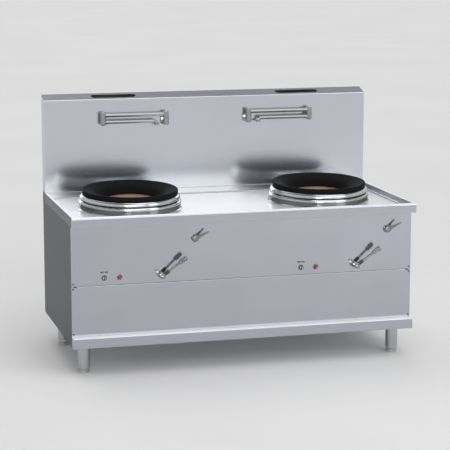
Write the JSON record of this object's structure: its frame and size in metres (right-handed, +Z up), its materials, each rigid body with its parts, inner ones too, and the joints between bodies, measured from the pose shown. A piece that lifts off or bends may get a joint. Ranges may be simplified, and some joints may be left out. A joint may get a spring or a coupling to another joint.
{
  "type": "wok range",
  "caption": "Free-standing stainless wok range with raised burner collars, cast wok rings, a hollow flue splashback with slots, folding swing taps, lever controls and levelling feet.",
  "frame": {"origin": "on the floor under the centre of the bounding box", "axes": "+X along the front to the right, +Y to the back, +Z up"},
  "size_m": [1.8, 0.905, 1.335],
  "materials": {
    "worktop_steel": "satin, lightly brushed",
    "panel_steel": "satin, lightly brushed",
    "frame_steel": "mill finish",
    "cast_ring": "black, rough",
    "cast_burner": "sooty, rough",
    "refractory": "matt, sandy",
    "chamber_steel": "dull",
    "duct_steel": "galvanised",
    "chrome": "polished",
    "leg_steel": "polished tube",
    "gas_brass": "satin",
    "pipe_steel": "satin",
    "motor_grey": "satin paint",
    "impeller_steel": "satin",
    "knob_black": "glossy",
    "button_red": "glossy",
    "box_grey": "satin paint",
    "gland_black": "matt"
  },
  "bodies": {
    "range": {"worktop_deck": "worktop_steel", "worktop_front_edge": "worktop_steel", "worktop_rear_edge": "worktop_steel", "worktop_side_edges": "worktop_steel", "splashback_front": "panel_steel", "splashback_back": "panel_steel", "side_panel_left": "panel_steel", "side_panel_right": "panel_steel", "rear_panel": "panel_steel", "bottom_shelf": "panel_steel", "control_panel": "panel_steel", "access_panel": "panel_steel", "toe_rail": "panel_steel", "burner_collar_left": "panel_steel", "burner_collar_right": "panel_steel", "frame_posts": "frame_steel", "frame_rails": "frame_steel", "legs": "leg_steel", "burner_head_left": "cast_burner", "burner_head_right": "cast_burner", "fire_lining_left": "refractory", "fire_lining_right": "refractory", "combustion_chamber_left": "chamber_steel", "combustion_chamber_right": "chamber_steel", "flue_duct_left": "duct_steel", "flue_duct_right": "duct_steel", "blower_housings": "duct_steel", "blower_motors": "motor_grey", "gas_valves": "gas_brass", "water_valves": "gas_brass", "pilot_burners": "gas_brass", "gas_manifold": "pipe_steel", "burner_air_pipes": "pipe_steel", "water_pipes": "pipe_steel", "panel_screws": "chrome", "control_bezels": "chrome", "tap_bracket_left": "chrome", "tap_bracket_right": "chrome", "control_box": "box_grey", "cable_gland": "gland_black"},
    "wok_ring_left": {"wok_ring_left": "cast_ring"},
    "wok_ring_right": {"wok_ring_right": "cast_ring"},
    "tap_arm_left": {"tap_arm_left": "chrome"},
    "tap_arm_right": {"tap_arm_right": "chrome"},
    "tap_spout_left": {"tap_spout_left": "chrome"},
    "tap_spout_right": {"tap_spout_right": "chrome"},
    "gas_lever_left": {"gas_lever_left": "chrome"},
    "gas_lever_right": {"gas_lever_right": "chrome"},
    "water_lever_left": {"water_lever_left": "chrome"},
    "water_lever_right": {"water_lever_right": "chrome"},
    "switch_knob_left": {"switch_knob_left": "knob_black"},
    "switch_knob_right": {"switch_knob_right": "knob_black"},
    "igniter_button_left": {"igniter_button_left": "button_red"},
    "igniter_button_right": {"igniter_button_right": "button_red"},
    "blower_impeller_left": {"blower_impeller_left": "impeller_steel"},
    "blower_impeller_right": {"blower_impeller_right": "impeller_steel"},
    "foot_front_left": {"foot_front_left": "leg_steel"},
    "foot_front_right": {"foot_front_right": "leg_steel"},
    "foot_rear_left": {"foot_rear_left": "leg_steel"},
    "foot_rear_right": {"foot_rear_right": "leg_steel"}
  },
  "joints": [
    {"name": "wok_ring_left_lift", "type": "slide", "parent": "range", "child": "wok_ring_left", "axis": [0, -0.0401, 0.9992], "range_m": [0, 0.15]},
    {"name": "tap_left_arm_swing", "type": "hinge", "parent": "range", "child": "tap_arm_left", "pos_m": [-0.242, 0.3315, 1.226], "axis": [0, 0, 1], "range_deg": [0, 105]},
    {"name": "tap_left_spout_swing", "type": "hinge", "parent": "tap_arm_left", "child": "tap_spout_left", "pos_m": [-0.587, 0.3315, 1.19], "axis": [0, 0, -1], "range_deg": [0, 180]},
    {"name": "gas_lever_left_turn", "type": "hinge", "parent": "range", "child": "gas_lever_left", "pos_m": [-0.439, -0.3875, 0.496], "axis": [0, -1, 0], "range_deg": [0, 90]},
    {"name": "water_lever_left_turn", "type": "hinge", "parent": "range", "child": "water_lever_left", "pos_m": [-0.264, -0.3875, 0.676], "axis": [0, -1, 0], "range_deg": [0, 90]},
    {"name": "switch_left_turn", "type": "hinge", "parent": "range", "child": "switch_knob_left", "pos_m": [-0.731, -0.3875, 0.496], "axis": [0, 1, 0], "range_deg": [0, 90]},
    {"name": "igniter_left_press", "type": "slide", "parent": "range", "child": "igniter_button_left", "axis": [0, 1, 0], "range_m": [0, 0.004], "stiffness_N_per_m": 600},
    {"name": "blower_left_spin", "type": "hinge", "parent": "range", "child": "blower_impeller_left", "pos_m": [-0.674, 0.19, 0.3007], "axis": [0, 1, 0], "continuous": true},
    {"name": "wok_ring_right_lift", "type": "slide", "parent": "range", "child": "wok_ring_right", "axis": [0, -0.0401, 0.9992], "range_m": [0, 0.15]},
    {"name": "tap_right_arm_swing", "type": "hinge", "parent": "range", "child": "tap_arm_right", "pos_m": [0.22, 0.3315, 1.226], "axis": [0, 0, -1], "range_deg": [0, 105]},
    {"name": "tap_right_spout_swing", "type": "hinge", "parent": "tap_arm_right", "child": "tap_spout_right", "pos_m": [0.565, 0.3315, 1.19], "axis": [0, 0, 1], "range_deg": [0, 180]},
    {"name": "gas_lever_right_turn", "type": "hinge", "parent": "range", "child": "gas_lever_right", "pos_m": [0.589, -0.3875, 0.496], "axis": [0, -1, 0], "range_deg": [0, 90]},
    {"name": "water_lever_right_turn", "type": "hinge", "parent": "range", "child": "water_lever_right", "pos_m": [0.764, -0.3875, 0.676], "axis": [0, -1, 0], "range_deg": [0, 90]},
    {"name": "switch_right_turn", "type": "hinge", "parent": "range", "child": "switch_knob_right", "pos_m": [0.297, -0.3875, 0.496], "axis": [0, 1, 0], "range_deg": [0, 90]},
    {"name": "igniter_right_press", "type": "slide", "parent": "range", "child": "igniter_button_right", "axis": [0, 1, 0], "range_m": [0, 0.004], "stiffness_N_per_m": 600},
    {"name": "blower_right_spin", "type": "hinge", "parent": "range", "child": "blower_impeller_right", "pos_m": [0.354, 0.19, 0.3007], "axis": [0, 1, 0], "continuous": true},
    {"name": "foot_front_left_level", "type": "slide", "parent": "range", "child": "foot_front_left", "axis": [0, 0, -1], "range_m": [0, 0.025]},
    {"name": "foot_front_right_level", "type": "slide", "parent": "range", "child": "foot_front_right", "axis": [0, 0, -1], "range_m": [0, 0.025]},
    {"name": "foot_rear_left_level", "type": "slide", "parent": "range", "child": "foot_rear_left", "axis": [0, 0, -1], "range_m": [0, 0.025]},
    {"name": "foot_rear_right_level", "type": "slide", "parent": "range", "child": "foot_rear_right", "axis": [0, 0, -1], "range_m": [0, 0.025]}
  ]
}
